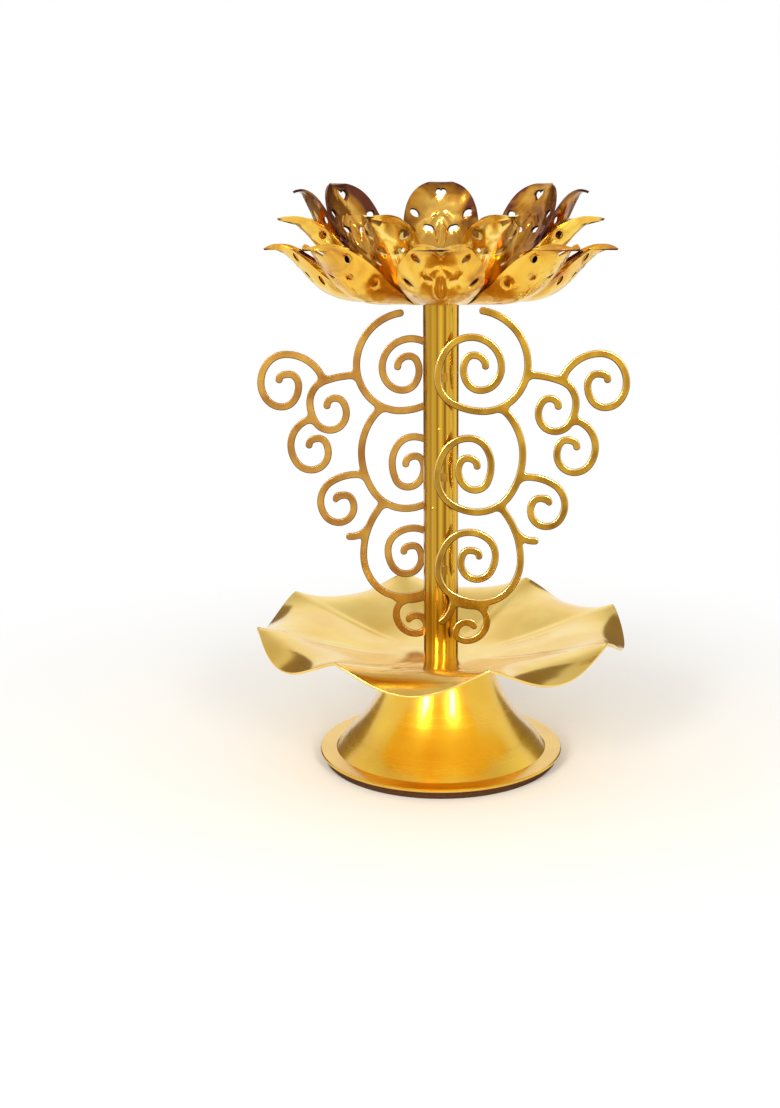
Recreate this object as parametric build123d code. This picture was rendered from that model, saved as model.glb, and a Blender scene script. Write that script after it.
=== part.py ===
from build123d import *
import math
import os

# Butter lamp: a lotus of three petal tiers on a round stem with scroll panels, a leaf dish and a bell foot.
# Millimetres, +Z up, origin at the middle of the underside, front of the lamp towards -Y.

# Foot disc and bell foot, heights of the bell measured from the underside of its flange
foot_disc_radius = 28.8
foot_disc_thickness = 2.0
foot_disc_bevel = 0.3
flange_radius = 30.0
flange_thickness = 0.8
flange_bevel = 0.25
bell_foot_radius = 26.0
bell_flare_radius = 22.0
bell_flare_height = 5.2
bell_waist_radius = 16.3
bell_waist_height = 12.8
bell_neck_radius = 13.0
bell_height = 24.4
bell_shoulder_height = 2.4
bell_wall = 0.8

# Leaf dish: heights of its crests and lobes from the flat middle outwards to the rim
dish_radius = 44.7
dish_hub_apothem = 8.0
dish_sheet = 0.6
lobe_count = 8
front_lobe_turn = -9.0
crest_heights = (0.0, 0.0, 1.6, 4.2, 6.8, 9.0)
lobe_heights = (0.0, 0.0, 2.0, 5.0, 10.0, 3.2)
crest_softness = 0.54

# Stem tube and the threaded plugs in its ends
tube_radius = 4.2
tube_wall = 0.6
tube_length = 84.3
plug_length = 12.0
plug_clearance = 0.05

# Screws, washers and spacers
screw_radius = 1.95
screw_clearance = 0.25
thread_clearance = 0.05
screw_head_radius = 3.8
screw_head_height = 1.8
screw_grip = 9.0
socket_width = 2.5
socket_depth = 1.0
washer_radius = 6.0
washer_thickness = 0.6
spacer_radius = 6.0
spacer_thickness = 0.9

# Scroll panels: each strip starts at its root and winds through the outermost point of every quarter turn,
# with points as (out from the stem, up from the dish)
panel_thickness = 1.0
strip_width = 1.7
left_panel_drop = 1.0
top_scroll_root = (9.6, 82.6)
top_scroll_turns = (
    (20.1, 70.2), (9.9, 59.5), (-0.8, 67.2), (7.0, 76.6), (14.0, 69.7), (9.2, 64.4), (5.2, 69.1), (7.6, 72.5),
    (10.3, 70.0),
)
middle_scroll_root = (14.4, 60.0)
middle_scroll_turns = (
    (19.2, 49.2), (8.6, 35.6), (-0.9, 43.8), (6.5, 53.2), (11.8, 46.8), (8.1, 40.9), (4.1, 45.6), (6.2, 48.5),
    (8.5, 46.6),
)
bottom_scroll_root = (14.4, 36.4)
bottom_scroll_turns = (
    (19.0, 23.9), (9.6, 13.4), (-0.7, 21.2), (6.7, 30.7), (13.0, 25.1), (8.6, 19.2), (4.8, 23.2), (6.8, 26.3),
    (9.1, 24.9),
)
foot_scroll_root = (8.8, 12.8)
foot_scroll_turns = ((11.1, 9.0), (6.2, 3.9), (3.6, 6.0), (6.2, 8.6), (7.9, 7.6))
outer_scroll_root = (27.9, 66.4)
outer_scroll_turns = ((36.8, 72.9), (43.0, 66.0), (38.2, 60.4), (34.0, 65.5), (36.3, 68.2), (38.6, 66.9))
hook_scroll_root = (27.8, 66.7)
hook_scroll_turns = ((31.4, 61.3), (26.7, 54.8), (22.7, 59.0), (25.3, 62.5), (27.3, 60.7))
drop_scroll_root = (30.6, 57.6)
drop_scroll_turns = ((36.2, 51.0), (31.4, 45.1), (27.2, 49.4), (29.5, 52.8), (31.8, 51.2))
side_scroll_root = (18.6, 43.8)
side_scroll_turns = ((20.4, 44.0), (29.3, 37.2), (25.0, 32.1), (21.2, 36.0), (23.4, 38.9), (25.5, 38.0))
arm_points = ((19.9, 67.9), (24.0, 67.6), (27.9, 66.5))
thorn_points = ((17.6, 31.2), (19.6, 29.2), (22.4, 28.6))
barb_points = ((2.6, 15.4), (2.4, 11.4), (0.3, 8.7))
web_points = ((3.0, 13.8), (7.2, 12.6), (11.0, 12.9))
solder_gap = 0.1
solder_width = 3.2
solder_height = 2.0

# Petal tiers: a petal's rib line, half width, rise of its edges and inward lean of its edges,
# in rows from the hub to the tip
petal_count = 8
upper_side_count = 7
lower_sheet = 0.6
middle_sheet = 0.6
upper_sheet = 0.8
petal_tip_half_width = 0.4
lower_reach = (14.0, 19.0, 24.5, 29.0, 33.2, 40.6)
lower_rise = (0.0, 0.0, 0.4, -1.6, 14.2, 11.8)
lower_half_widths = (6.9, 9.6, 11.8, 8.6)
lower_cups = (0.0, 1.5, 4.5, 5.5, 2.8, 0.0)
lower_leans = (0.0, 0.0, 0.5, 1.0, 1.0, 0.0)
middle_reach = (13.0, 16.8, 23.5, 29.6, 35.5, 38.4)
middle_rise = (0.0, 0.0, -1.2, 15.8, 17.5, 16.8)
middle_half_widths = (5.4, 6.6, 8.2, 4.6)
middle_cups = (0.0, 1.0, 2.0, 2.0, 1.0, 0.0)
middle_leans = (0.0, 0.3, 1.5, 3.5, 1.5, 0.0)
upper_reach = (11.5, 18.0, 26.5, 31.5, 30.5, 33.6)
upper_rise = (0.0, 0.0, 7.0, 19.5, 25.0, 23.0)
upper_half_widths = (7.6, 10.0, 12.0, 7.0)
upper_cups = (0.0, 1.0, 1.5, 0.5, 0.0, 0.0)
upper_leans = (0.0, 0.5, 2.0, 3.0, 1.0, 0.0)
upper_tip_heights = (21.2, 23.6, 24.4, 23.6, 21.2)

# Holes of a petal: a heart near the tip, and a shoulder, an inner and an outer pair of almonds,
# placed by share of the rib line and by share of the half width
lower_hole_rows = (0.885, 0.77, 0.665, 0.535)
middle_hole_rows = (0.81, 0.66, 0.565, 0.48)
upper_hole_rows = (0.75, 0.585, 0.5, 0.43)
pair_sides = (0.74, 0.33, 0.75)
pair_tilts = (40.0, 25.0, 40.0)
almond_length = 2.6
almond_width = 1.6
heart_width = 2.8
heart_length = 2.4
heart_shoulder = 0.4
punch_length = 3.2

# Levels of the stack, from the ground up
flange_level = foot_disc_thickness
bell_top_level = flange_level + bell_height
dish_level = bell_top_level + dish_sheet
stem_top_level = dish_level + tube_length
middle_tier_level = stem_top_level + lower_sheet + spacer_thickness
upper_tier_level = middle_tier_level + middle_sheet + spacer_thickness
lotus_washer_level = upper_tier_level + upper_sheet
lotus_head_level = lotus_washer_level + washer_thickness
base_washer_level = bell_top_level - bell_wall - washer_thickness
base_head_level = base_washer_level - screw_head_height
screw_hole = screw_radius + screw_clearance
tube_bore = tube_radius - tube_wall


def ring(radius, hole, thickness, level):
    return Pos(0, 0, level) * extrude(Circle(radius) - Circle(hole), thickness)


# Foot disc: a plain disc under the flange, its lower edge bevelled
foot_disc = extrude(Circle(foot_disc_radius), foot_disc_thickness)
foot_disc = chamfer(foot_disc.edges().group_by(Axis.Z)[0], foot_disc_bevel)


# Bell foot: a spun shell, a filled turned shape less the same shape set in by the wall
def bell_section(inset, foot_level):
    top = bell_height - inset
    neck_height = bell_height - bell_shoulder_height
    flare = ThreePointArc(
        (bell_neck_radius - inset, neck_height),
        (bell_waist_radius - inset, bell_waist_height),
        (bell_flare_radius - inset, bell_flare_height),
    )
    skirt = TangentArc(flare @ 1, (bell_foot_radius - inset, foot_level), tangent=flare % 1)
    rising = (flare % 0) * -1
    shoulder_radius = (top - neck_height) / (1 + rising.X)
    shoulder = JernArc(flare @ 0, rising, shoulder_radius, 90 - math.degrees(math.asin(-rising.X)))
    rest = Polyline(skirt @ 1, (bell_foot_radius - inset, 0), (0, 0), (0, top), shoulder @ 1)
    return make_face([flare, skirt, shoulder, rest])


def turned(section):
    return revolve(Plane.XZ * section, Axis.Z)


flange = extrude(Circle(flange_radius), flange_thickness)
base_shell = turned(bell_section(0, flange_thickness)) + chamfer(flange.edges(), flange_bevel)
base_shell -= turned(bell_section(bell_wall, flange_thickness))
base_shell -= extrude(Circle(screw_hole), bell_height)
base_shell = Pos(0, 0, flange_level) * base_shell


# Leaf dish: eight like sectors of curved sheet round a flat eight-sided middle, each from crest to crest
half_sector = math.radians(180 / lobe_count)


def dish_sector():
    rows = []
    for step, (crest, lobe) in enumerate(zip(crest_heights, lobe_heights)):
        share = step / (len(crest_heights) - 1)
        corner = dish_hub_apothem / math.cos(half_sector)
        radius = corner + (dish_radius - corner) * share
        side = radius * math.sin(half_sector)
        chord = radius * math.cos(half_sector)
        bulge = share * (radius / math.cos(half_sector) - chord)
        drop = crest - lobe
        flank = crest - crest_softness * drop
        valley = crest - (16 - 8 * crest_softness) / 6 * drop
        rows.append(
            [
                (-side, -chord, crest),
                (-side / 2, -chord - bulge / 2, flank),
                (0, -chord - bulge * 2 / 3, valley),
                (side / 2, -chord - bulge / 2, flank),
                (side, -chord, crest),
            ]
        )
    return extrude(Face.make_bezier_surface(rows), dish_sheet, dir=(0, 0, -1))


sector = dish_sector()
hub = RegularPolygon(dish_hub_apothem, lobe_count, major_radius=False, rotation=180 / lobe_count)
leaf_dish = Pos(0, 0, -dish_sheet) * extrude(hub - Circle(screw_hole), dish_sheet)
leaf_dish += [sector.rotate(Axis.Z, lobe * 360 / lobe_count) for lobe in range(lobe_count)]
leaf_dish = Pos(0, 0, dish_level) * leaf_dish.rotate(Axis.Z, front_lobe_turn)


# Stem tube and its two plugs
stem_tube = ring(tube_radius, tube_bore, tube_length, dish_level)
plug_radius = tube_bore - plug_clearance
plug_bore = screw_radius + thread_clearance
stem_plug_lower = ring(plug_radius, plug_bore, plug_length, dish_level)
stem_plug_upper = ring(plug_radius, plug_bore, plug_length, stem_top_level - plug_length)


# Screws: a round head with a six-sided socket, shank upwards
def screw(shank_length):
    body = extrude(Circle(screw_head_radius), screw_head_height)
    body += Pos(0, 0, screw_head_height) * extrude(Circle(screw_radius), shank_length)
    return body - extrude(RegularPolygon(socket_width / 2, 6, major_radius=False), socket_depth)


base_screw_reach = dish_level + screw_grip - base_washer_level
base_screw = Pos(0, 0, base_head_level) * screw(base_screw_reach)
lotus_screw_reach = lotus_head_level - stem_top_level + screw_grip
lotus_screw = Pos(0, 0, lotus_head_level + screw_head_height) * screw(lotus_screw_reach).rotate(Axis.X, 180)

base_washer = ring(washer_radius, screw_hole, washer_thickness, base_washer_level)
lotus_washer = ring(washer_radius, screw_hole, washer_thickness, lotus_washer_level)
tier_spacer_lower = ring(spacer_radius, screw_hole, spacer_thickness, stem_top_level + lower_sheet)
tier_spacer_upper = ring(spacer_radius, screw_hole, spacer_thickness, middle_tier_level + middle_sheet)


# Scroll panels: strips that wind clockwise, each quarter turn made of two arcs
def quarter_turn(start, start_heading, end, end_heading):
    span = end - start
    reach = span.dot(start_heading + end_heading)
    pull = (math.sqrt(reach**2 + 2 * span.dot(span)) - reach) / 2
    middle = (start + end + (start_heading - end_heading) * pull) / 2
    return TangentArc(start, middle, tangent=start_heading), TangentArc(end, middle, tangent=end_heading * -1)


def strip(line):
    return make_face(Wire(line).offset_2d(strip_width / 2).edges())


def scroll(root, turns, heading):
    points = [Vector(*turn) for turn in turns]
    heading = Vector(*heading)
    line = [TangentArc(points[0], root, tangent=heading * -1)]
    for start, end in zip(points, points[1:]):
        next_heading = Vector(heading.Y, -heading.X)
        line += quarter_turn(start, heading, end, next_heading)
        heading = next_heading
    return strip(line)


down = (0, -1)
right = (1, 0)
panel_outline = scroll(top_scroll_root, top_scroll_turns, down)
panel_outline += [
    scroll(middle_scroll_root, middle_scroll_turns, down),
    scroll(bottom_scroll_root, bottom_scroll_turns, down),
    scroll(foot_scroll_root, foot_scroll_turns, down),
    scroll(outer_scroll_root, outer_scroll_turns, right),
    scroll(hook_scroll_root, hook_scroll_turns, down),
    scroll(drop_scroll_root, drop_scroll_turns, down),
    scroll(side_scroll_root, side_scroll_turns, right),
]
panel_outline += [strip([ThreePointArc(*bow)]) for bow in (arm_points, thorn_points, barb_points, web_points)]
panel_plane = Plane.XZ.offset(tube_radius + solder_gap).shift_origin((0, -tube_radius - solder_gap, dish_level))
scroll_panel_right = extrude(panel_plane * panel_outline, panel_thickness)
scroll_panel_left = Pos(0, 0, -left_panel_drop) * scroll_panel_right.rotate(Axis.Z, 180)


# Solder: a bead fills the wedge between plate and tube wherever a scroll crosses the front of the tube
def solder_bead(height):
    depth = tube_radius - math.sqrt(tube_radius**2 - (solder_width / 2) ** 2) + solder_gap
    block = Box(solder_width, depth, solder_height, align=(Align.CENTER, Align.MIN, Align.CENTER))
    bead = Pos(0, -tube_radius - solder_gap, dish_level + height) * block
    return bead - Pos(0, 0, dish_level) * extrude(Circle(tube_radius), tube_length)


crossings = [turns[2] for turns in (top_scroll_turns, middle_scroll_turns, bottom_scroll_turns)]
front_beads = [solder_bead(height) for out, height in crossings]
back_beads = [Pos(0, 0, -left_panel_drop) * bead.rotate(Axis.Z, 180) for bead in front_beads]
panel_solder = Compound(children=front_beads + back_beads)


# Punches for the holes of a petal, few-sided, in the plane of its sheet with the tip towards +Y
def punch(outline):
    return extrude(make_face(Polyline(*outline, close=True)), punch_length / 2, both=True)


almond_end = almond_length / 2
almond_bow = almond_width / 2
almond_punch = punch([(-almond_end, 0), (0, almond_bow), (almond_end, 0), (0, -almond_bow)])
heart_side = heart_width / 2
heart_top = heart_length / 2
heart_punch = punch(
    [(-heart_side, heart_shoulder), (-heart_side / 2, heart_top), (heart_side / 2, heart_top),
     (heart_side, heart_shoulder), (0, -heart_top)]
)


# Petal tiers: like petals of curved, pierced sheet round a flat many-sided hub
def petal(reach, rise, half_widths, cups, leans, hole_rows, sheet):
    rows = []
    for out, up, half, cup, lean in zip(reach, rise, half_widths, cups, leans):
        edge = (-out + lean, up + cup)
        rows.append([(-half, *edge), (0, -out - lean, up - cup), (half, *edge)])
    surface = Face.make_bezier_surface(rows)
    heart_row, *pair_rows = hole_rows
    punches = [surface.location_at(heart_row, 0.5, x_dir=(1, 0, 0)) * heart_punch]
    for row, side, tilt in zip(pair_rows, pair_sides, pair_tilts):
        for hand in (-1, 1):
            spot = surface.location_at(row, (1 + hand * side) / 2, x_dir=(1, 0, 0))
            punches.append(spot * Rot(0, 0, hand * tilt) * almond_punch)
    return extrude(surface, sheet, dir=(0, 0, 1)) - punches


def petal_tier(reach, rise, inner_half_widths, cups, leans, hole_rows, sheet, sides, tip_heights, turn, level):
    root_half_width = reach[0] * math.tan(math.pi / sides)
    half_widths = (root_half_width, *inner_half_widths, petal_tip_half_width)
    plate = RegularPolygon(reach[0], sides, major_radius=False, rotation=-90 + 180 / sides)
    petals = []
    for place, tip_height in enumerate(tip_heights):
        lift = tip_height / rise[-1]
        lifted_rise = [up * lift for up in rise]
        lifted_cups = [cup * lift for cup in cups]
        one = petal(reach, lifted_rise, half_widths, lifted_cups, leans, hole_rows, sheet)
        petals.append(one.rotate(Axis.Z, (place - len(tip_heights) // 2) * 360 / sides))
    tier = extrude(plate - Circle(screw_hole), sheet) + petals
    return Pos(0, 0, level) * tier.rotate(Axis.Z, turn)


lotus_tier_lower = petal_tier(
    lower_reach, lower_rise, lower_half_widths, lower_cups, lower_leans, lower_hole_rows, lower_sheet,
    petal_count, [lower_rise[-1]] * petal_count, 0, stem_top_level,
)
lotus_tier_middle = petal_tier(
    middle_reach, middle_rise, middle_half_widths, middle_cups, middle_leans, middle_hole_rows, middle_sheet,
    petal_count, [middle_rise[-1]] * petal_count, 180 / petal_count, middle_tier_level,
)
lotus_tier_upper = petal_tier(
    upper_reach, upper_rise, upper_half_widths, upper_cups, upper_leans, upper_hole_rows, upper_sheet,
    upper_side_count, upper_tip_heights, 180, upper_tier_level,
)

parts = {
    "foot_disc": foot_disc,
    "base_shell": base_shell,
    "base_washer": base_washer,
    "base_screw": base_screw,
    "leaf_dish": leaf_dish,
    "stem_tube": stem_tube,
    "stem_plug_lower": stem_plug_lower,
    "stem_plug_upper": stem_plug_upper,
    "scroll_panel_right": scroll_panel_right,
    "scroll_panel_left": scroll_panel_left,
    "panel_solder": panel_solder,
    "lotus_tier_lower": lotus_tier_lower,
    "tier_spacer_lower": tier_spacer_lower,
    "lotus_tier_middle": lotus_tier_middle,
    "tier_spacer_upper": tier_spacer_upper,
    "lotus_tier_upper": lotus_tier_upper,
    "lotus_washer": lotus_washer,
    "lotus_screw": lotus_screw,
}
os.makedirs("parts", exist_ok=True)
for name, shape in parts.items():
    export_step(shape, f"parts/{name}.step")
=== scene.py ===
import math

import bmesh
import bpy
from mathutils import Matrix, Vector, geometry


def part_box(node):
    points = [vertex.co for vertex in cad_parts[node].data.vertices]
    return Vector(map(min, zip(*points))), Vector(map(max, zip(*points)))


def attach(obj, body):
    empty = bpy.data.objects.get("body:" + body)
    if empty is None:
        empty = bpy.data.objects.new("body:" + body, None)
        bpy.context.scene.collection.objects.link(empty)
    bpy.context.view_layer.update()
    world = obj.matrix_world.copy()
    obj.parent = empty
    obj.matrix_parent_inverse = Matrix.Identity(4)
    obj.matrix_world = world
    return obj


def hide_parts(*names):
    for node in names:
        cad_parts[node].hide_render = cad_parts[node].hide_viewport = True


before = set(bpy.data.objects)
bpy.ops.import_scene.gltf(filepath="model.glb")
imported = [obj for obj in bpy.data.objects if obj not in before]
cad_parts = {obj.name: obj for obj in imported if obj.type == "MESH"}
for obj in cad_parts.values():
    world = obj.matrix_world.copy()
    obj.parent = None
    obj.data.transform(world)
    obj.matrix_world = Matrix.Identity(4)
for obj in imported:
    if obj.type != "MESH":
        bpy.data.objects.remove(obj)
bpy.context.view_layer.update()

scene = bpy.context.scene
scene.view_settings.view_transform = "Standard"


# Foot disc
# A disc of dark brown foam sheet, cut with a die and glued under the flange of the foot.
# It keeps the lamp from scratching a table, and only its rim shows.
def linear(colour):
    """An sRGB hex colour as linear RGBA."""
    shares = [int(colour[at:at + 2], 16) / 255 for at in (1, 3, 5)]
    return [s / 12.92 if s <= 0.04045 else ((s + 0.055) / 1.055) ** 2.4 for s in shares] + [1.0]


def add(tree, kind, settings, inputs):
    """A new node of a tree, with its settings, and with its inputs set or linked."""
    node = tree.nodes.new(kind)
    for name, value in settings.items():
        setattr(node, name, value)
    for name, value in inputs.items():
        if isinstance(value, bpy.types.NodeSocket):
            tree.links.new(value, node.inputs[name])
        else:
            node.inputs[name].default_value = value
    return node


def new_material(name, constants):
    """A material with constants on its shader, with its tree, its shader and Object coordinates."""
    material = bpy.data.materials.new(name)
    material.use_nodes = True
    tree = material.node_tree
    shader = tree.nodes["Principled BSDF"]
    for socket, value in constants.items():
        shader.inputs[socket].default_value = value
    coordinates = add(tree, "ShaderNodeTexCoord", {}, {}).outputs["Object"]
    return material, tree, shader, coordinates


def dress(node, *materials):
    """Gives a CAD node's object its finished materials."""
    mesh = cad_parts[node].data
    mesh.materials.clear()
    for material in materials:
        mesh.materials.append(material)


def foam_sheet():
    # Closed-cell foam: matt, nearly black brown, with the pores of the cut rim as a fine grain
    pore_size, pore_depth = 0.0006, 0.0002
    material, tree, shader, place = new_material(
        "foam_sheet_cut", {"Roughness": 0.9, "Specular IOR Level": 0.2}
    )
    pores = add(tree, "ShaderNodeTexNoise", {}, {"Vector": place, "Scale": 1 / pore_size, "Detail": 3.0})
    tone = add(tree, "ShaderNodeValToRGB", {}, {"Fac": pores.outputs["Fac"]})
    tone.color_ramp.elements[0].color = linear("#38200E")
    tone.color_ramp.elements[1].color = linear("#553418")
    bump = add(
        tree, "ShaderNodeBump", {},
        {"Height": pores.outputs["Fac"], "Strength": 0.4, "Distance": pore_depth},
    )
    tree.links.new(tone.outputs["Color"], shader.inputs["Base Color"])
    tree.links.new(bump.outputs["Normal"], shader.inputs["Normal"])
    return material


dress("foot_disc", foam_sheet())


# Bell foot
# A bell spun from brass sheet on a lathe, with a flat flange at its foot, then polished and gold plated.
# Its satin polish changes a little in broad rings, so its highlights are soft bands, not mirror images.
def spun_gold():
    # Gold plate over spun and polished sheet: deep yellow and satin, its gloss changing from ring to ring
    ring_width, cloud_size = 0.0025, 0.0143
    material, tree, shader, place = new_material(
        "gold_plate_spun", {"Metallic": 1.0, "Coat Weight": 0.8, "Coat Roughness": 0.12}
    )
    split = add(tree, "ShaderNodeSeparateXYZ", {}, {"Vector": place})
    flat = add(tree, "ShaderNodeCombineXYZ", {}, {"X": split.outputs["X"], "Y": split.outputs["Y"]})
    radius = add(tree, "ShaderNodeVectorMath", {"operation": "LENGTH"}, {0: flat.outputs["Vector"]})
    along = add(
        tree, "ShaderNodeMath", {"operation": "SUBTRACT"},
        {0: radius.outputs["Value"], 1: split.outputs["Z"]},
    )
    rings = add(
        tree, "ShaderNodeTexNoise", {"noise_dimensions": "1D"},
        {"W": along.outputs["Value"], "Scale": 1 / ring_width, "Detail": 0.0},
    )
    clouds = add(tree, "ShaderNodeTexNoise", {}, {"Vector": place, "Scale": 1 / cloud_size, "Detail": 2.0})
    tone = add(tree, "ShaderNodeValToRGB", {}, {"Fac": clouds.outputs["Fac"]})
    tone.color_ramp.elements[0].position = 0.3
    tone.color_ramp.elements[0].color = linear("#E6B226")
    tone.color_ramp.elements[1].position = 0.7
    tone.color_ramp.elements[1].color = linear("#F2C636")
    gloss = add(
        tree, "ShaderNodeMapRange", {}, {"Value": rings.outputs["Fac"], "To Min": 0.22, "To Max": 0.3}
    )
    tree.links.new(tone.outputs["Color"], shader.inputs["Base Color"])
    tree.links.new(gloss.outputs["Result"], shader.inputs["Roughness"])
    return material


dress("base_shell", spun_gold())


# Screws, washers, plugs and spacers
# Plain steel hardware with a thin zinc plate, which holds the foot, the dish and the lotus to the stem.
# Only the head and washer in the middle of the lotus can be seen.
def zinc_steel():
    # Zinc-plated steel: grey, dull and slightly cloudy
    cloud_size = 0.002
    material, tree, shader, place = new_material("steel_zinc_plated", {"Metallic": 1.0})
    clouds = add(tree, "ShaderNodeTexNoise", {}, {"Vector": place, "Scale": 1 / cloud_size, "Detail": 3.0})
    tone = add(tree, "ShaderNodeValToRGB", {}, {"Fac": clouds.outputs["Fac"]})
    tone.color_ramp.elements[0].color = linear("#A8A196")
    tone.color_ramp.elements[1].color = linear("#C9C4BA")
    gloss = add(
        tree, "ShaderNodeMapRange", {}, {"Value": clouds.outputs["Fac"], "To Min": 0.28, "To Max": 0.42}
    )
    tree.links.new(tone.outputs["Color"], shader.inputs["Base Color"])
    tree.links.new(gloss.outputs["Result"], shader.inputs["Roughness"])
    return material


hardware_steel = zinc_steel()
hardware = [
    "base_washer", "base_screw", "stem_plug_lower", "stem_plug_upper",
    "tier_spacer_lower", "tier_spacer_upper", "lotus_washer", "lotus_screw",
]
for node in hardware:
    dress(node, hardware_steel)


# Leaf dish
# A drip tray pressed from thin brass sheet: eight lobes rise from a flat middle, and their lips turn down.
# It is clamped between the bell and the stem, and plated in a paler gold than the rest.
def bezier(values, share):
    """The value at a share of a Bezier curve with these control values."""
    degree = len(values) - 1
    weights = [math.comb(degree, at) * (1 - share) ** (degree - at) * share**at for at in range(degree + 1)]
    return sum(weight * value for weight, value in zip(weights, values))


def ring_tree():
    """Geometry nodes that set copies of a mesh round the Z axis and join them to a hub.

    The middle copy is stretched upwards by Lift. The others are stretched less, by Fall times the square of
    their places from the middle.
    """
    tree = bpy.data.node_groups.new("ring_of_copies", "GeometryNodeTree")
    sockets = {
        "Geometry": "NodeSocketGeometry", "Hub": "NodeSocketObject", "Count": "NodeSocketInt",
        "Start": "NodeSocketFloat", "Step": "NodeSocketFloat", "Lift": "NodeSocketFloat",
        "Fall": "NodeSocketFloat", "Seam": "NodeSocketFloat", "Material": "NodeSocketMaterial",
    }
    for name, kind in sockets.items():
        tree.interface.new_socket(name, in_out="INPUT", socket_type=kind)
    tree.interface.new_socket("Geometry", in_out="OUTPUT", socket_type="NodeSocketGeometry")
    given = add(tree, "NodeGroupInput", {}, {}).outputs
    points = add(tree, "GeometryNodeMeshLine", {}, {"Count": given["Count"], "Offset": (0, 0, 0)})
    index = add(tree, "GeometryNodeInputIndex", {}, {})
    turn = add(
        tree, "ShaderNodeMath", {"operation": "MULTIPLY_ADD"},
        {0: index.outputs["Index"], 1: given["Step"], 2: given["Start"]},
    )
    angles = add(tree, "ShaderNodeCombineXYZ", {}, {"Z": turn.outputs["Value"]})
    # The place of the middle copy is half of one less than the count
    middle = add(tree, "ShaderNodeMath", {"operation": "MULTIPLY_ADD"}, {0: given["Count"], 1: 0.5, 2: -0.5})
    places = add(
        tree, "ShaderNodeMath", {"operation": "SUBTRACT"},
        {0: index.outputs["Index"], 1: middle.outputs["Value"]},
    )
    square = add(
        tree, "ShaderNodeMath", {"operation": "MULTIPLY"},
        {0: places.outputs["Value"], 1: places.outputs["Value"]},
    )
    drop = add(
        tree, "ShaderNodeMath", {"operation": "MULTIPLY"}, {0: square.outputs["Value"], 1: given["Fall"]}
    )
    height = add(
        tree, "ShaderNodeMath", {"operation": "SUBTRACT"}, {0: given["Lift"], 1: drop.outputs["Value"]}
    )
    stretch = add(tree, "ShaderNodeCombineXYZ", {}, {"X": 1.0, "Y": 1.0, "Z": height.outputs["Value"]})
    copies = add(
        tree, "GeometryNodeInstanceOnPoints", {},
        {
            "Points": points.outputs["Mesh"], "Instance": given["Geometry"],
            "Rotation": angles.outputs["Vector"], "Scale": stretch.outputs["Vector"],
        },
    )
    hub = add(tree, "GeometryNodeObjectInfo", {}, {"Object": given["Hub"]})
    both = add(tree, "GeometryNodeJoinGeometry", {}, {"Geometry": copies.outputs["Instances"]})
    tree.links.new(hub.outputs["Geometry"], both.inputs["Geometry"])
    real = add(tree, "GeometryNodeRealizeInstances", {}, {"Geometry": both.outputs["Geometry"]})
    joined = add(
        tree, "GeometryNodeMergeByDistance", {},
        {"Geometry": real.outputs["Geometry"], "Distance": given["Seam"]},
    )
    smooth = add(tree, "GeometryNodeSetShadeSmooth", {}, {"Geometry": joined.outputs["Geometry"]})
    finished = add(
        tree, "GeometryNodeSetMaterial", {},
        {"Geometry": smooth.outputs["Geometry"], "Material": given["Material"]},
    )
    add(tree, "NodeGroupOutput", {}, {"Geometry": finished.outputs["Geometry"]})
    return tree


copies_in_a_ring = ring_tree()


def mesh_object(name, points, faces):
    """An object of the scene made of points and faces."""
    mesh = bpy.data.meshes.new(name)
    mesh.from_pydata(points, [], faces)
    piece = bpy.data.objects.new(name, mesh)
    scene.collection.objects.link(piece)
    return piece


def made_plain(piece):
    """Replaces a piece's mesh by what its modifiers make of it, and drops the modifiers."""
    evaluated = piece.evaluated_get(bpy.context.evaluated_depsgraph_get())
    piece.data = bpy.data.meshes.new_from_object(evaluated)
    piece.modifiers.clear()


def ring_of(piece, hub, sizes):
    """Turns one sector into a whole ring round its hub, as a plain mesh."""
    seam_gap = 0.000002
    modifier = piece.modifiers.new("ring", "NODES")
    modifier.node_group = copies_in_a_ring
    values = {"Hub": hub, "Seam": seam_gap, **sizes}
    for item in copies_in_a_ring.interface.items_tree:
        if item.in_out == "INPUT" and item.name in values:
            modifier[item.identifier] = values[item.name]
    made_plain(piece)
    bpy.data.objects.remove(hub)


def polygon_ring(sides, corner, shares):
    """Points at shares of each side of a flat polygon whose corners lie at one radius."""
    points = []
    for side in range(sides):
        turns = [-math.pi / 2 + (2 * side + hand) * math.pi / sides for hand in (-1, 1)]
        start, end = (Vector((math.cos(turn), math.sin(turn), 0)) * corner for turn in turns)
        points += [start.lerp(end, share) for share in shares]
    return points


def flat_hub(name, ring, hole_radius, facing):
    """A flat hub between a ring of points and a round hole, facing up for 1 or down for -1."""
    size = len(ring)
    points = ring + [point.normalized() * hole_radius for point in ring]
    faces = [(k, (k + 1) % size, (k + 1) % size + size, k + size)[::facing] for k in range(size)]
    return mesh_object(name, points, faces)


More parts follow.
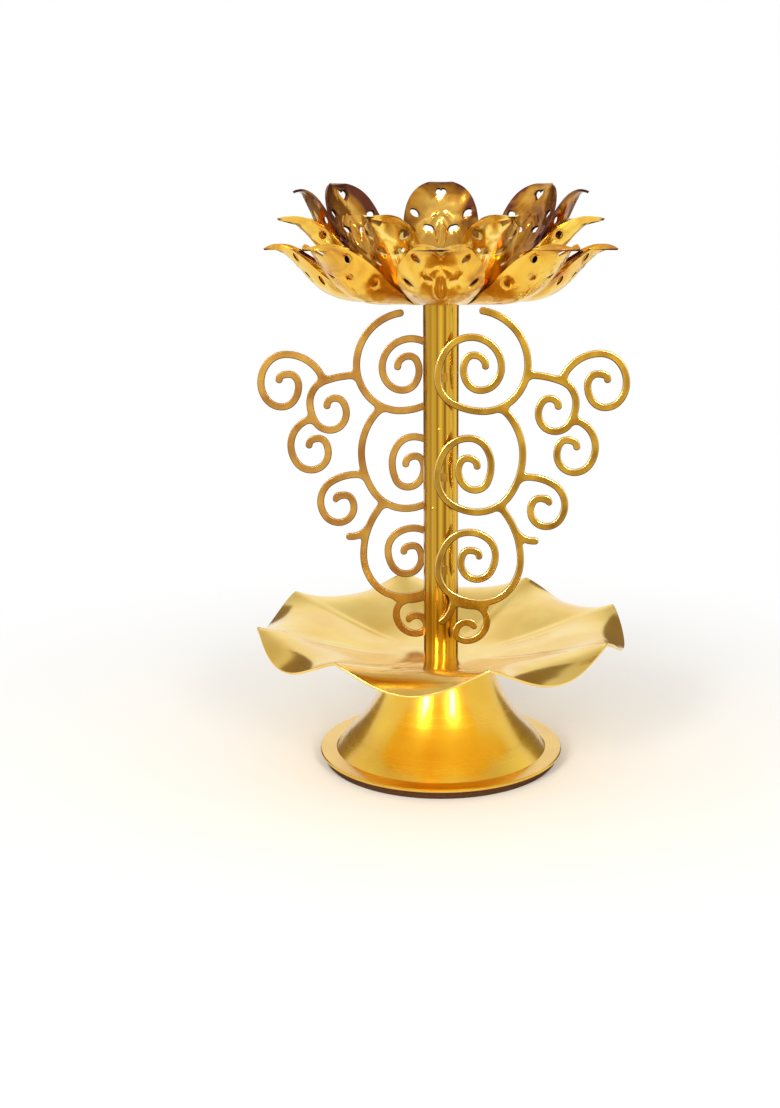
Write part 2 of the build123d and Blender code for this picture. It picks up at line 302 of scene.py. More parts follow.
def polished_sheet(name, pale, deep, patch_size):
    # Bright plate on rolled sheet: softly polished, with slow waves of the press and a little haze
    wave_depth = 0.0006
    material, tree, shader, place = new_material(name, {"Metallic": 1.0})
    patches = add(tree, "ShaderNodeTexNoise", {}, {"Vector": place, "Scale": 1 / patch_size, "Detail": 2.0})
    tone = add(tree, "ShaderNodeValToRGB", {}, {"Fac": patches.outputs["Fac"]})
    tone.color_ramp.elements[0].position = 0.35
    tone.color_ramp.elements[0].color = linear(deep)
    tone.color_ramp.elements[1].position = 0.65
    tone.color_ramp.elements[1].color = linear(pale)
    gloss = add(
        tree, "ShaderNodeMapRange", {}, {"Value": patches.outputs["Fac"], "To Min": 0.13, "To Max": 0.21}
    )
    bump = add(
        tree, "ShaderNodeBump", {},
        {"Height": patches.outputs["Fac"], "Strength": 0.12, "Distance": wave_depth},
    )
    tree.links.new(tone.outputs["Color"], shader.inputs["Base Color"])
    tree.links.new(gloss.outputs["Result"], shader.inputs["Roughness"])
    tree.links.new(bump.outputs["Normal"], shader.inputs["Normal"])
    return material


def leaf_dish():
    """The dish: one lobe as a Bezier skin, copied round a flat hub, then given the sheet's thickness."""
    mm = 0.001
    dish_radius, hub_apothem, hole_radius = 44.7 * mm, 8.0 * mm, 2.2 * mm
    sheet, lip_round, lip_steps, lip_angle = 0.6 * mm, 0.2 * mm, 2, math.radians(60.0)
    lobes, front_lobe_turn = 8, math.radians(-9.0)
    crest_heights = [height * mm for height in (0.0, 0.0, 1.6, 4.2, 6.8, 9.0)]
    lobe_heights = [height * mm for height in (0.0, 0.0, 2.0, 5.0, 10.0, 3.2)]
    crest_softness, vein_height, vein_width = 0.54, 0.4 * mm, 0.7 * mm
    across, along, press_wave = 24, 44, 12.0 * mm
    half_sector = math.pi / lobes
    corner = hub_apothem / math.cos(half_sector)
    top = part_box("stem_tube")[0].z
    control_rows = []
    for step, (crest, lobe) in enumerate(zip(crest_heights, lobe_heights)):
        share = step / (len(crest_heights) - 1)
        radius = corner + (dish_radius - corner) * share
        side = radius * math.sin(half_sector)
        chord = radius * math.cos(half_sector)
        bulge = share * (radius / math.cos(half_sector) - chord)
        drop = crest - lobe
        flank = crest - crest_softness * drop
        # The control height that takes the middle of a row to the height of the lobe
        valley = crest - (16 - 8 * crest_softness) / 6 * drop
        control_rows.append([
            (-side, -chord, crest),
            (-side / 2, -chord - bulge / 2, flank),
            (0, -chord - bulge * 2 / 3, valley),
            (side / 2, -chord - bulge / 2, flank),
            (side, -chord, crest),
        ])
    points = []
    for row in range(along + 1):
        line = [[bezier(axis, row / along) for axis in zip(*rib)] for rib in zip(*control_rows)]
        for column in range(across + 1):
            x, y, z = (bezier(axis, column / across) for axis in zip(*line))
            off_crest = min(abs(x - line[end][0]) for end in (0, -1))
            vein = math.exp(-((off_crest / vein_width) ** 2)) * math.sin(math.pi * row / along) ** 2
            points.append((x, y, z + top + vein_height * vein))
    row_size = across + 1
    corners = [row * row_size + column for row in range(along) for column in range(across)]
    piece = mesh_object(
        "leaf_dish_sheet", points, [(k, k + row_size, k + row_size + 1, k + 1) for k in corners]
    )
    ring = polygon_ring(lobes, corner, [column / across for column in range(across)])
    hub = flat_hub("dish_hub", ring, hole_radius, 1)
    hub.data.transform(Matrix.Translation((0, 0, top)) @ Matrix.Rotation(front_lobe_turn, 4, "Z"))
    gold = polished_sheet("gold_plate_pale", "#FADA7C", "#F2C864", press_wave)
    ring_of(piece, hub, {
        "Count": lobes, "Start": front_lobe_turn, "Step": 2 * half_sector,
        "Lift": 1.0, "Fall": 0.0, "Material": gold,
    })
    wall = piece.modifiers.new("sheet", "SOLIDIFY")
    wall.thickness = sheet
    wall.offset = -1.0
    lip = piece.modifiers.new("lip", "BEVEL")
    lip.width = lip_round
    lip.segments = lip_steps
    lip.limit_method = "ANGLE"
    lip.angle_limit = lip_angle
    lip.harden_normals = True
    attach(piece, "stand")
    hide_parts("leaf_dish")


leaf_dish()


# Stem tube
# A drawn brass tube, gold plated, which stands on the dish and carries the lotus.
# Drawing leaves fine lines along it, and the plate has a few specks.
def drawn_gold():
    # Gold plate over drawn tube: glossy, with a few small blisters and with lines up and down it,
    # which are drawn coarser than real ones so that they show
    line_width, squeeze = 0.0013, 0.002
    speck_spacing, speck_core, speck_rim, speck_height = 0.004, 0.04, 0.1, 0.0002
    material, tree, shader, place = new_material("gold_plate_drawn", {"Metallic": 1.0})
    squeezed = add(tree, "ShaderNodeMapping", {}, {"Vector": place, "Scale": (1.0, 1.0, squeeze)})
    lines = add(
        tree, "ShaderNodeTexNoise", {},
        {"Vector": squeezed.outputs["Vector"], "Scale": 1 / line_width, "Detail": 2.0},
    )
    tone = add(tree, "ShaderNodeValToRGB", {}, {"Fac": lines.outputs["Fac"]})
    tone.color_ramp.elements[0].position = 0.35
    tone.color_ramp.elements[0].color = linear("#8A5C18")
    tone.color_ramp.elements[1].position = 0.65
    tone.color_ramp.elements[1].color = linear("#E6B63E")
    gloss = add(
        tree, "ShaderNodeMapRange", {}, {"Value": lines.outputs["Fac"], "To Min": 0.1, "To Max": 0.22}
    )
    cells = add(
        tree, "ShaderNodeTexVoronoi", {}, {"Vector": place, "Scale": 1 / speck_spacing, "Randomness": 1.0}
    )
    specks = add(
        tree, "ShaderNodeMapRange", {},
        {
            "Value": cells.outputs["Distance"], "From Min": speck_core, "From Max": speck_rim,
            "To Min": 1.0, "To Max": 0.0,
        },
    )
    bump = add(
        tree, "ShaderNodeBump", {},
        {"Height": specks.outputs["Result"], "Strength": 0.6, "Distance": speck_height},
    )
    tree.links.new(tone.outputs["Color"], shader.inputs["Base Color"])
    tree.links.new(gloss.outputs["Result"], shader.inputs["Roughness"])
    tree.links.new(bump.outputs["Normal"], shader.inputs["Normal"])
    return material


dress("stem_tube", drawn_gold())


# Scroll panels and their solder
# Two like plates stamped from brass sheet, their strips wound into scrolls, their edges tumbled round.
# One is brazed to the front of the stem and its twin, turned half round, to the back.
def stamped_gold(name, pale, deep):
    # Antique gold plate on the face of a stamped strip: satin, with darker and duller patches along it
    patch_size = 0.006
    material, tree, shader, place = new_material(name, {"Metallic": 1.0})
    patches = add(tree, "ShaderNodeTexNoise", {}, {"Vector": place, "Scale": 1 / patch_size, "Detail": 4.0})
    tone = add(tree, "ShaderNodeValToRGB", {}, {"Fac": patches.outputs["Fac"]})
    tone.color_ramp.elements[0].position = 0.3
    tone.color_ramp.elements[0].color = linear(deep)
    tone.color_ramp.elements[1].position = 0.7
    tone.color_ramp.elements[1].color = linear(pale)
    gloss = add(
        tree, "ShaderNodeMapRange", {}, {"Value": patches.outputs["Fac"], "To Min": 0.2, "To Max": 0.34}
    )
    tree.links.new(tone.outputs["Color"], shader.inputs["Base Color"])
    tree.links.new(gloss.outputs["Result"], shader.inputs["Roughness"])
    return material


def edge_gold_painted_light(name, dark, bright, roughness):
    # Rounded edge of the strip: a painted highlight where it faces up and painted shade where it faces down
    material, tree, shader, _ = new_material(name, {"Metallic": 1.0, "Roughness": roughness})
    # Painted highlight and shade: the colour goes from dark to bright as the face turns from down to up
    facing = add(tree, "ShaderNodeNewGeometry", {}, {})
    split = add(tree, "ShaderNodeSeparateXYZ", {}, {"Vector": facing.outputs["Normal"]})
    upward = add(
        tree, "ShaderNodeMapRange", {}, {"Value": split.outputs["Z"], "From Min": -0.5, "From Max": 0.5}
    )
    tone = add(tree, "ShaderNodeValToRGB", {}, {"Fac": upward.outputs["Result"]})
    tone.color_ramp.elements[0].position = 0.25
    tone.color_ramp.elements[0].color = linear(dark)
    tone.color_ramp.elements[1].position = 0.8
    tone.color_ramp.elements[1].color = linear(bright)
    tree.links.new(tone.outputs["Color"], shader.inputs["Base Color"])
    return material


# Each edge material paints a highlight on the upward faces of the rounded edges and shade on the downward
# ones
panel_finishes = {
    "right": {
        "face": stamped_gold("gold_plate_antique", pale="#CC9C32", deep="#8E601C"),
        "edge": edge_gold_painted_light("gold_plate_edge_painted_light", dark="#6B4418", bright="#FFE592", roughness=0.2),
        "edge_round": 0.00028,
    },
    "left": {
        "face": stamped_gold("gold_plate_rosy", pale="#CC9C46", deep="#A46C32"),
        "edge": edge_gold_painted_light("gold_plate_edge_dull_painted_light", dark="#563214", bright="#BE9048", roughness=0.36),
        "edge_round": 0.0002,
    },
}


def webbed_copy(node, name):
    """A copy of a CAD plate with double points merged, flats made whole and a round web in each notch."""
    seam_gap, flat_angle, smooth_angle = 0.000002, math.radians(1.0), math.radians(30.0)
    notch_angle, web_reach, web_steps, straight_through = math.radians(40.0), 0.0010, 4, 0.9
    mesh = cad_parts[node].data.copy()
    work = bmesh.new()
    work.from_mesh(mesh)
    bmesh.ops.remove_doubles(work, verts=work.verts, dist=seam_gap)
    bmesh.ops.dissolve_limit(
        work, angle_limit=flat_angle, verts=work.verts, edges=work.edges, use_dissolve_boundaries=False
    )
    # Rungs are the edges that run through the plate, and a notch is a rung where two walls meet inwards
    rungs = set()
    for edge in work.edges:
        run = (edge.verts[1].co - edge.verts[0].co).normalized()
        if abs(run.y) > straight_through:
            rungs.add(edge)
    notches = [edge for edge in work.edges if edge in rungs and edge.calc_face_angle_signed() < -notch_angle]
    spare = set()
    for notch in notches:
        for wall in notch.link_faces:
            rung, gap = notch, Vector()
            while gap.length < web_reach:
                spare.add(rung)
                rung = next(edge for edge in wall.edges if edge in rungs and edge is not rung)
                wall = next(face for face in rung.link_faces if face is not wall)
                gap = rung.verts[0].co - notch.verts[0].co
                gap.y = 0.0
    spare.difference_update(notches)
    bmesh.ops.dissolve_edges(work, edges=[edge for edge in work.edges if edge in spare], use_verts=True)
    for notch in notches:
        bmesh.ops.bevel(
            work, geom=[notch], offset=web_reach, segments=web_steps, profile=0.5,
            affect="EDGES", clamp_overlap=True,
        )
    work.to_mesh(mesh)
    work.free()
    # The normals that came with the plate no longer fit its walls
    if "custom_normal" in mesh.attributes:
        mesh.attributes.remove(mesh.attributes["custom_normal"])
    mesh.shade_smooth()
    mesh.set_sharp_from_angle(angle=smooth_angle)
    piece = bpy.data.objects.new(name, mesh)
    scene.collection.objects.link(piece)
    return piece


edge_steps, edge_angle = 3, math.radians(50.0)
for side, finish in panel_finishes.items():
    plate = webbed_copy(f"scroll_panel_{side}", f"scroll_plate_{side}")
    plate.data.materials.clear()
    plate.data.materials.append(finish["face"])
    plate.data.materials.append(finish["edge"])
    bevel = plate.modifiers.new("round", "BEVEL")
    bevel.width = finish["edge_round"]
    bevel.segments = edge_steps
    bevel.limit_method = "ANGLE"
    bevel.angle_limit = edge_angle
    bevel.material = 1
    bevel.harden_normals = True
    bevel.use_clamp_overlap = False
    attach(plate, "stand")
    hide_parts(f"scroll_panel_{side}")
dress("panel_solder", stamped_gold("braze_metal", pale="#B88430", deep="#94661F"))


# Lotus tiers
# Three tiers of petals, each stamped, pierced and embossed from thin brass sheet, bent up and gold plated.
# They are stacked under one screw, free to turn, and their sheared edges have gone dark.
def stamped_petal_gold(name, pale, amber, stain, rim_tint, dent_depth, roughness, tilt):
    # Gold plate over stamped sheet: bright amber, with brown and purple tarnish and small flats
    dent_size, stain_size, flat_size = 0.0045, 0.011, 0.006
    tint_start, stain_roughness = 0.45, 0.08
    material, tree, shader, place = new_material(name, {"Metallic": 1.0})
    dents = add(tree, "ShaderNodeTexNoise", {}, {"Vector": place, "Scale": 1 / dent_size, "Detail": 1.0})
    stains = add(
        tree, "ShaderNodeTexNoise", {},
        {"Vector": place, "Scale": 1 / stain_size, "Detail": 3.0, "Roughness": 0.6, "Distortion": 0.8},
    )
    rim = add(tree, "ShaderNodeAttribute", {"attribute_name": "rim_nearness"}, {})
    tint = add(
        tree, "ShaderNodeMapRange", {},
        {
            "Value": rim.outputs["Fac"], "From Min": tint_start, "From Max": 1.0,
            "To Min": 0.0, "To Max": rim_tint,
        },
    )
    depth = add(
        tree, "ShaderNodeMath", {"operation": "SUBTRACT"},
        {0: stains.outputs["Fac"], 1: tint.outputs["Result"]},
    )
    tone = add(tree, "ShaderNodeValToRGB", {}, {"Fac": depth.outputs["Value"]})
    tone.color_ramp.elements[0].position = 0.3
    tone.color_ramp.elements[0].color = linear(stain)
    tone.color_ramp.elements[1].position = 0.66
    tone.color_ramp.elements[1].color = linear(pale)
    tone.color_ramp.elements.new(0.46).color = linear(amber)
    gloss = add(
        tree, "ShaderNodeMapRange", {},
        {"Value": stains.outputs["Fac"], "To Min": roughness + stain_roughness, "To Max": roughness},
    )
    bump = add(
        tree, "ShaderNodeBump", {},
        {"Height": dents.outputs["Fac"], "Strength": 0.5, "Distance": dent_depth},
    )
    flats = add(
        tree, "ShaderNodeTexVoronoi", {}, {"Vector": place, "Scale": 1 / flat_size, "Randomness": 1.0}
    )
    lean = add(
        tree, "ShaderNodeVectorMath", {"operation": "MULTIPLY_ADD"},
        {0: flats.outputs["Color"], 1: (tilt, tilt, tilt), 2: (-tilt / 2, -tilt / 2, -tilt / 2)},
    )
    turned = add(
        tree, "ShaderNodeVectorTransform",
        {"vector_type": "VECTOR", "convert_from": "OBJECT", "convert_to": "WORLD"},
        {"Vector": lean.outputs["Vector"]},
    )
    leaning = add(
        tree, "ShaderNodeVectorMath", {"operation": "ADD"},
        {0: bump.outputs["Normal"], 1: turned.outputs["Vector"]},
    )
    facing = add(tree, "ShaderNodeVectorMath", {"operation": "NORMALIZE"}, {0: leaning.outputs["Vector"]})
    tree.links.new(tone.outputs["Color"], shader.inputs["Base Color"])
    tree.links.new(gloss.outputs["Result"], shader.inputs["Roughness"])
    tree.links.new(facing.outputs["Vector"], shader.inputs["Normal"])
    return material


def sheared_edge_painted_highlight(name, dark, brown, bright):
    # Bare sheared brass: gone dark purple brown along the cut, with a painted highlight where it faces up
    blotch_size, unevenness = 0.002, 0.5
    material, tree, shader, place = new_material(name, {"Metallic": 1.0, "Roughness": 0.3})
    blotches = add(
        tree, "ShaderNodeTexNoise", {}, {"Vector": place, "Scale": 1 / blotch_size, "Detail": 2.0}
    )
    facing = add(tree, "ShaderNodeNewGeometry", {}, {})
    split = add(tree, "ShaderNodeSeparateXYZ", {}, {"Vector": facing.outputs["Normal"]})
    # Painted highlight: the uneven dark cut colour brightens as the face turns upwards
    blotches_and_painted_highlight = add(
        tree, "ShaderNodeMath", {"operation": "MULTIPLY_ADD"},
        {0: blotches.outputs["Fac"], 1: unevenness, 2: split.outputs["Z"]},
    )
    tone = add(tree, "ShaderNodeValToRGB", {}, {"Fac": blotches_and_painted_highlight.outputs["Value"]})
    tone.color_ramp.elements[0].position = 0.5
    tone.color_ramp.elements[0].color = linear(dark)
    tone.color_ramp.elements[1].position = 0.95
    tone.color_ramp.elements[1].color = linear(bright)
    tone.color_ramp.elements.new(0.75).color = linear(brown)
    tree.links.new(tone.outputs["Color"], shader.inputs["Base Color"])
    return material


bright_petal = stamped_petal_gold(
    "gold_plate_stamped", pale="#FBD664", amber="#F2BE46", stain="#C8883A",
    rim_tint=0.06, dent_depth=0.0006, roughness=0.18, tilt=0.12,
)
pale_petal = stamped_petal_gold(
    "gold_plate_light", pale="#FFE88A", amber="#FCD658", stain="#EAB446",
    rim_tint=0.06, dent_depth=0.0004, roughness=0.22, tilt=0.1,
)
tinted_petal = stamped_petal_gold(
    "gold_plate_tarnished", pale="#E6B452", amber="#C0822E", stain="#74402F",
    rim_tint=0.2, dent_depth=0.0008, roughness=0.12, tilt=0.3,
)
# Both petal edge materials paint a highlight on the upward faces of their cut edges
edge_painted_highlight = sheared_edge_painted_highlight("brass_edge_painted_highlight", dark="#4A2414", brown="#9A6434", bright="#FFE6A0")
dark_edge_painted_highlight = sheared_edge_painted_highlight("brass_edge_dark_painted_highlight", dark="#4A2A24", brown="#7A4A38", bright="#A87848")


def petal_point(form, across, along):
    """The point of a petal's skin at shares of its half width and of its rib line."""
    return Vector((
        bezier(form["half_widths"], along) * across,
        bezier(form["leans"], along) * across**2 - bezier(form["reach"], along),
        bezier(form["cups"], along) * across**2 + bezier(form["rise"], along),
    ))


def almond_hole(angle):
    """A point of an almond hole's outline, in metres across and along, at an angle round it."""
    half_length, half_width, sharpness = 0.0013, 0.0008, 0.4
    return half_length * math.cos(angle), half_width * math.sin(angle) * abs(math.sin(angle)) ** sharpness


def heart_hole(angle):
    """A point of a heart hole's outline, its lobes towards the tip of the petal."""
    half_width = 0.0014
    rise = 13 * math.cos(angle) - 5 * math.cos(2 * angle) - 2 * math.cos(3 * angle) - math.cos(4 * angle)
    return half_width * math.sin(angle) ** 3, half_width / 16 * rise


def pierced_outlines(form):
    """The holes of a petal as (centre, scale, outline), in shares across and along it."""
    corners, step = 18, 0.01
    pair_sides, pair_tilts = (0.74, 0.33, 0.75), (40.0, 25.0, 40.0)
    places = [(heart_hole, 0.0, form["hole_rows"][0], 0.0)]
    for along, side, tilt in zip(form["hole_rows"][1:], pair_sides, pair_tilts):
        places += [(almond_hole, hand * side, along, hand * math.radians(tilt)) for hand in (-1, 1)]
    holes = []
    for shape, across, along, tilt in places:
        run = petal_point(form, 0, along + step) - petal_point(form, 0, along - step)
        stretch = run.length / (2 * step)
        scale = Vector((1 / bezier(form["half_widths"], along), 1 / stretch))
        turn = Matrix.Rotation(tilt, 2)
        corner_points = [turn @ Vector(shape(2 * math.pi * k / corners)) for k in range(corners)]
        holes.append((Vector((across, along)), scale, corner_points))
    return holes


def inside(point, outline):
    """Whether a point lies inside an outline."""
    odd = False
    for start, end in zip(outline, outline[1:] + outline[:1]):
        if (start.y > point.y) != (end.y > point.y):
            odd ^= point.x < start.x + (point.y - start.y) / (end.y - start.y) * (end.x - start.x)
    return odd


def over_scale(gap, scale):
    """A gap in shares of a petal as one in metres."""
    return Vector((gap.x / scale.x, gap.y / scale.y))


def embossing(form, holes, across, along):
    """How far the stamp presses a petal outwards: a leaf, an arch over it and a dimple at each hole."""
    leaf_root, leaf_tip, leaf_half_width = form["leaf"]
    arch_root, arch_top, arch_half_width = form["arch"]
    ridge_height, ridge_width = form["ridge"], 0.00042
    arch_height, arch_width, arch_fade = 0.6 * ridge_height, 1.3 * ridge_width, 0.3
    dimple_depth, dimple_width, dimple_reach = 0.0002, 0.0004, 0.003
    off_rib = abs(across) * bezier(form["half_widths"], along)
    leaf_share = (along - leaf_root) / (leaf_tip - leaf_root)
    arch_share = (along - arch_root) / (arch_top - arch_root)
    press = 0.0
    if 0 < leaf_share < 1:
        bow = math.sin(math.pi * leaf_share)
        leaf_lines = (0.0, leaf_half_width * bow)
        ridges = [math.exp(-(((off_rib - line) / ridge_width) ** 2)) for line in leaf_lines]
        press += ridge_height * math.sqrt(bow) * max(ridges)
    if 0 < arch_share < 1:
        off_arch = off_rib - arch_half_width * math.sqrt(1 - arch_share)
        press += arch_height * arch_share**arch_fade * math.exp(-((off_arch / arch_width) ** 2))
    for centre, scale, outline in holes:
        near = over_scale(Vector((across, along)) - centre, scale)
        if near.length < dimple_reach:
            gap = min((near - corner).length for corner in outline)
            press -= dimple_depth * math.exp(-((gap / dimple_width) ** 2))
    return press


def petal_columns():
    """Shares across a petal, closer together near its rib."""
    half_count, crowding = 26, 1.25
    right = [(k / half_count) ** crowding for k in range(1, half_count + 1)]
    return [-share for share in reversed(right)] + [0.0] + right


def clear_of_holes(spot, holes, collar):
    """Whether a spot of the flat petal lies outside the collar of triangles round every hole."""
    margin = 0.00022
    for centre, scale, outline in holes:
        near = over_scale(spot - centre, scale)
        wide = [corner * collar for corner in outline]
        if inside(near, wide) or min((near - corner).length for corner in wide) < margin:
            return False
    return True


def petal(name, form):
    """One petal as a skin of triangles: outline and holes are filled flat, then bent and embossed."""
    row_count, collars, step, tip_start, same_spot = 78, (1.35, 1.8), 0.002, 0.6, 1e-7
    columns, holes = petal_columns(), pierced_outlines(form)
    rows = [k / row_count for k in range(row_count + 1)]
    rim = [(u, 0.0) for u in columns] + [(1.0, t) for t in rows[1:-1]]
    rim += [(u, 1.0) for u in reversed(columns)] + [(-1.0, t) for t in reversed(rows[1:-1])]
    loops, free = [[Vector(spot) for spot in rim]], []
    for centre, scale, outline in holes:
        loops.append([centre + corner * scale for corner in outline])
        for collar in collars:
            free += [centre + corner * scale * collar for corner in outline]
    grid = [Vector((u, t)) for u in columns[1:-1] for t in rows[1:-1]]
    free += [spot for spot in grid if clear_of_holes(spot, holes, collars[-1])]
    points, edges = [], []
    for loop in loops:
        first, count = len(points), len(loop)
        points += loop
        edges += [(first + k, first + (k + 1) % count) for k in range(count)]
    flat, _, triangles, *_ = geometry.delaunay_2d_cdt(points + free, edges, [], 0, same_spot)
    kept = []
    for triangle in triangles:
        middle = sum((flat[k] for k in triangle), Vector((0, 0))) / 3
        if not any(inside(middle, loop) for loop in loops[1:]):
            kept.append(triangle)
    bent = []
    for u, t in flat:
        here = petal_point(form, u, t)
        over = petal_point(form, u + step, t) - here
        onward = petal_point(form, u, t + step) - here
        bent.append(here + over.cross(onward).normalized() * embossing(form, holes, u, t))
    piece = mesh_object(name, bent, kept)
    nearness = piece.data.attributes.new("rim_nearness", "FLOAT", "POINT")
    nearness.data.foreach_set("value", [max(abs(u), (t - tip_start) / (1 - tip_start)) for u, t in flat])
    return piece


def petal_tier(name, node, body, form):
    """A tier: copies of its petal round a flat hub, given the sheet's thickness and dark cut edges."""
    sides, count, screw_hole, fold_angle = form["sides"], form["count"], 0.0022, math.radians(55.0)
    half_sector = math.pi / sides
    corner = form["reach"][0] / math.cos(half_sector)
    ring = polygon_ring(sides, corner, [(across + 1) / 2 for across in petal_columns()[:-1]])
    hub = flat_hub("tier_hub", ring, screw_hole, -1)
    hub.data.transform(Matrix.Rotation(form["turn"], 4, "Z"))
    piece = petal(name, form)
    ring_of(piece, hub, {
        "Count": count, "Start": form["turn"] - (count // 2) * 2 * half_sector, "Step": 2 * half_sector,
        "Lift": form["lift"], "Fall": form["fall"], "Material": form["gold"],
    })
    piece.data.materials.append(form["edge"])
    wall = piece.modifiers.new("sheet", "SOLIDIFY")
    wall.thickness = form["sheet"]
    wall.offset = -1.0
    wall.material_offset_rim = 1
    made_plain(piece)
    piece.data.set_sharp_from_angle(angle=fold_angle)
    piece.data.transform(Matrix.Translation((0, 0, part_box(node)[0].z)))
    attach(piece, body)
    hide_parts(node)


def millimetres(*values):
    """Lengths in millimetres as a list in metres."""
    return [value * 0.001 for value in values]


# Each list of a form runs from the hub to the tip of a petal: how far out and how high its rib lies, half
# its width, and how far its sides cup up and lean in. Holes, leaf and arch lie at shares of that way.
lower_form = {
    "sides": 8, "count": 8, "turn": 0.0, "lift": 1.0, "fall": 0.0, "sheet": 0.00045,
    "reach": millimetres(14.0, 19.0, 24.5, 29.0, 33.2, 40.6),
    "rise": millimetres(0.0, 0.0, 0.4, -1.6, 14.2, 11.8),
    "half_widths": millimetres(5.8, 6.9, 9.6, 11.8, 8.6, 0.4),
    "cups": millimetres(0.0, 1.5, 4.5, 5.5, 2.8, 0.0),
    "leans": millimetres(0.0, 0.0, 0.5, 1.0, 1.0, 0.0),
    "gold": bright_petal, "edge": edge_painted_highlight, "hole_rows": (0.885, 0.77, 0.665, 0.535), "ridge": 0.0002,
    "leaf": (0.45, 0.735, 0.00125), "arch": (0.55, 0.765, 0.0047),
}
middle_form = {
    "sides": 8, "count": 8, "turn": math.radians(22.5), "lift": 1.0, "fall": 0.0, "sheet": 0.00045,
    "reach": millimetres(13.0, 16.8, 23.5, 29.6, 35.5, 38.4),
    "rise": millimetres(0.0, 0.0, -1.2, 15.8, 17.5, 16.8),
    "half_widths": millimetres(5.385, 5.4, 6.6, 8.2, 4.6, 0.4),
    "cups": millimetres(0.0, 1.0, 2.0, 2.0, 1.0, 0.0),
    "leans": millimetres(0.0, 0.3, 1.5, 3.5, 1.5, 0.0),
    "gold": pale_petal, "edge": edge_painted_highlight, "hole_rows": (0.81, 0.66, 0.565, 0.48), "ridge": 0.00015,
    "leaf": (0.38, 0.64, 0.0011), "arch": (0.47, 0.67, 0.0036),
}
upper_form = {
    "sides": 7, "count": 5, "turn": math.pi, "lift": 1.061, "fall": 0.0348, "sheet": 0.00055,
    "reach": millimetres(11.5, 18.0, 26.5, 31.5, 30.5, 33.6),
    "rise": millimetres(0.0, 0.0, 7.0, 19.5, 25.0, 23.0),
    "half_widths": millimetres(5.538, 7.6, 10.0, 12.0, 7.0, 0.4),
    "cups": millimetres(0.0, 1.0, 1.5, 0.5, 0.0, 0.0),
    "leans": millimetres(0.0, 0.5, 2.0, 3.0, 1.0, 0.0),
    "gold": tinted_petal, "edge": dark_edge_painted_highlight, "hole_rows": (0.75, 0.585, 0.5, 0.43), "ridge": 0.0005,
    "leaf": (0.36, 0.56, 0.00125), "arch": (0.42, 0.6, 0.0045),
}
petal_tier("petals_lower", "lotus_tier_lower", "lower_tier", lower_form)
petal_tier("petals_middle", "lotus_tier_middle", "middle_tier", middle_form)
petal_tier("petals_upper", "lotus_tier_upper", "upper_tier", upper_form)


# Floor, light and camera
# A white floor that runs into a white room with a grey ceiling, and a soft lamp on each side of the camera.
# Two dark cards behind the object, out of view, put an edge on its polished sides.
room_white, ceiling_grey, lamp_white = linear("#FFFFFF"), linear("#D6D2CC"), linear("#FFFDF8")
floor_reach, shadow_radius, white_radius = 3.0, 0.05, 0.2
floor_paint, floor_tree, floor_shader, floor_place = new_material("floor_paint", {"Roughness": 0.9})
floor_shader.inputs["Base Color"].default_value = linear("#F6F5F2")
# In view and in reflections the floor fades to the white of the room, so that no edge of it shows
seen = add(floor_tree, "ShaderNodeLightPath", {}, {}).outputs
mirrored = add(
    floor_tree, "ShaderNodeMath", {"operation": "MAXIMUM"},
    {0: seen["Is Camera Ray"], 1: seen["Is Glossy Ray"]},
)
direct = add(
    floor_tree, "ShaderNodeMath", {"operation": "MAXIMUM"},
    {0: mirrored.outputs["Value"], 1: seen["Is Transmission Ray"]},
)
far = add(floor_tree, "ShaderNodeVectorMath", {"operation": "LENGTH"}, {0: floor_place})
fade = add(
    floor_tree, "ShaderNodeMapRange", {"interpolation_type": "SMOOTHSTEP"},
    {"Value": far.outputs["Value"], "From Min": shadow_radius, "From Max": white_radius},
)
share = add(
    floor_tree, "ShaderNodeMath", {"operation": "MULTIPLY"},
    {0: direct.outputs["Value"], 1: fade.outputs["Result"]},
)
glow = add(floor_tree, "ShaderNodeEmission", {}, {"Color": room_white, "Strength": 1.0})
blend = add(
    floor_tree, "ShaderNodeMixShader", {},
    {0: share.outputs["Value"], 1: floor_shader.outputs["BSDF"], 2: glow.outputs["Emission"]},
)
floor_tree.links.new(blend.outputs["Shader"], floor_tree.nodes["Material Output"].inputs["Surface"])
corners = ((-1, -1), (1, -1), (1, 1), (-1, 1))
floor = mesh_object("floor", [(x * floor_reach, y * floor_reach, 0.0) for x, y in corners], [(0, 1, 2, 3)])
floor.data.materials.append(floor_paint)

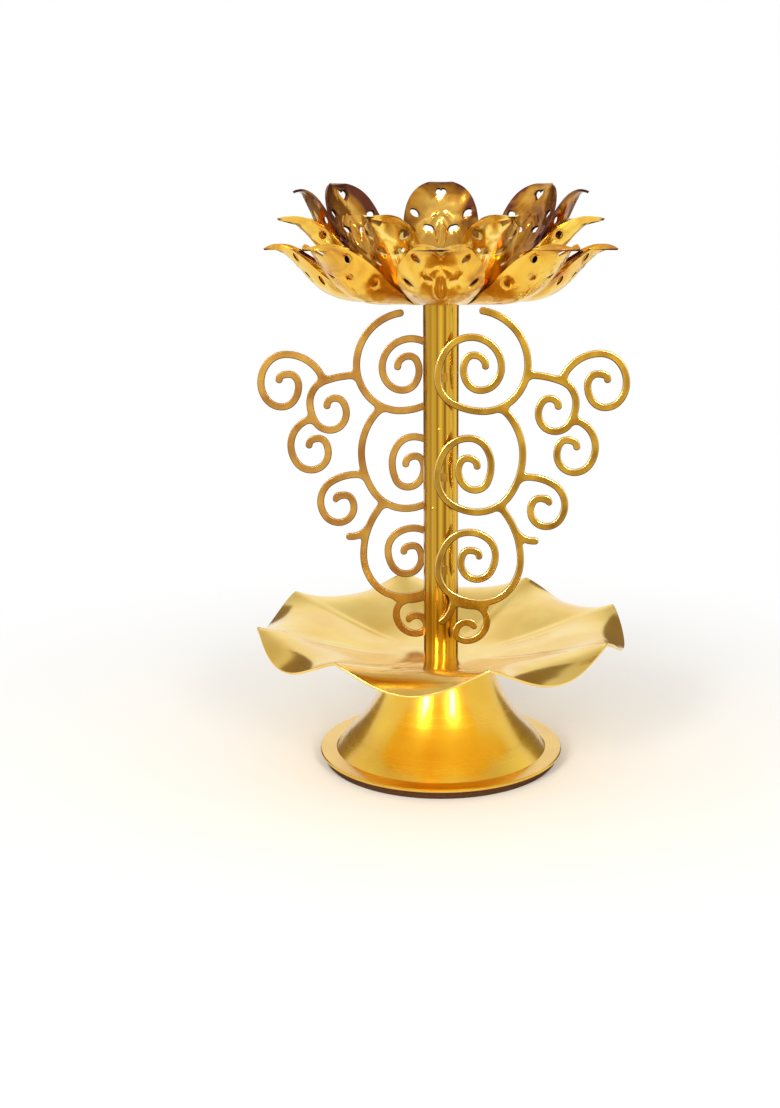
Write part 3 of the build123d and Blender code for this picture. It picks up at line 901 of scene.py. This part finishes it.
world = bpy.data.worlds.new("studio")
scene.world = world
world.use_nodes = True
room = world.node_tree
heading = add(room, "ShaderNodeTexCoord", {}, {})
height = add(room, "ShaderNodeSeparateXYZ", {}, {"Vector": heading.outputs["Generated"]})
walls = add(room, "ShaderNodeValToRGB", {}, {"Fac": height.outputs["Z"]})
walls.color_ramp.elements[0].position = 0.45
walls.color_ramp.elements[0].color = room_white
walls.color_ramp.elements[1].position = 0.75
walls.color_ramp.elements[1].color = ceiling_grey
room.links.new(walls.outputs["Color"], room.nodes["Background"].inputs["Color"])
room.nodes["Background"].inputs["Strength"].default_value = 1.0


def soft_lamp(name, place, width, height, power):
    """A rectangular soft lamp that faces the object."""
    aim = Vector((0.0, 0.0, 0.06))
    lamp = bpy.data.lights.new(name, "AREA")
    lamp.shape = "RECTANGLE"
    lamp.size = width
    lamp.size_y = height
    lamp.energy = power
    lamp.color = lamp_white[:3]
    holder = bpy.data.objects.new(name, lamp)
    scene.collection.objects.link(holder)
    holder.location = place
    holder.rotation_euler = (aim - Vector(place)).to_track_quat("-Z", "Y").to_euler()
    holder.visible_camera = False


soft_lamp("lamp_left", place=(-0.28, -0.53, 0.29), width=0.13, height=0.24, power=2.2)
soft_lamp("lamp_right", place=(0.225, -0.556, 0.27), width=0.10, height=0.22, power=1.6)

card_paint, _, card_shader, _ = new_material("card_paint", {"Roughness": 0.8})
card_shader.inputs["Base Color"].default_value = linear("#7A6748")
card_near, card_far, card_depth = 0.16, 0.42, (0.46, 0.28)
for side, hand, card_top in (("left", -1, 0.36), ("right", 1, 0.7)):
    ends = [(hand * card_near, card_depth[0]), (hand * card_far, card_depth[1])]
    points = [(*ends[0], 0.0), (*ends[1], 0.0), (*ends[1], card_top), (*ends[0], card_top)]
    card = mesh_object(f"card_{side}", points, [(0, 1, 2, 3)])
    card.data.materials.append(card_paint)
    card.visible_camera = False
    card.visible_diffuse = False
    card.visible_shadow = False

# The lens and place of the photograph's camera, with focal length and axis in pixels of a 780 by 1108 frame
focal_pixels, axis_pixel, frame_width, frame_height = 1356.2, 440.94, 780, 1108
sensor, camera_place, camera_dip = 36.0, (0.0, -0.320, 0.1256), 0.2282
lens = bpy.data.cameras.new("camera")
lens.sensor_width = sensor
lens.lens = sensor * focal_pixels / frame_height
lens.shift_x = (frame_width / 2 - axis_pixel) / frame_height
lens.clip_start = 0.01
camera = bpy.data.objects.new("camera", lens)
scene.collection.objects.link(camera)
camera.location = camera_place
camera.rotation_euler = (math.pi / 2 - camera_dip, 0.0, 0.0)
scene.camera = camera
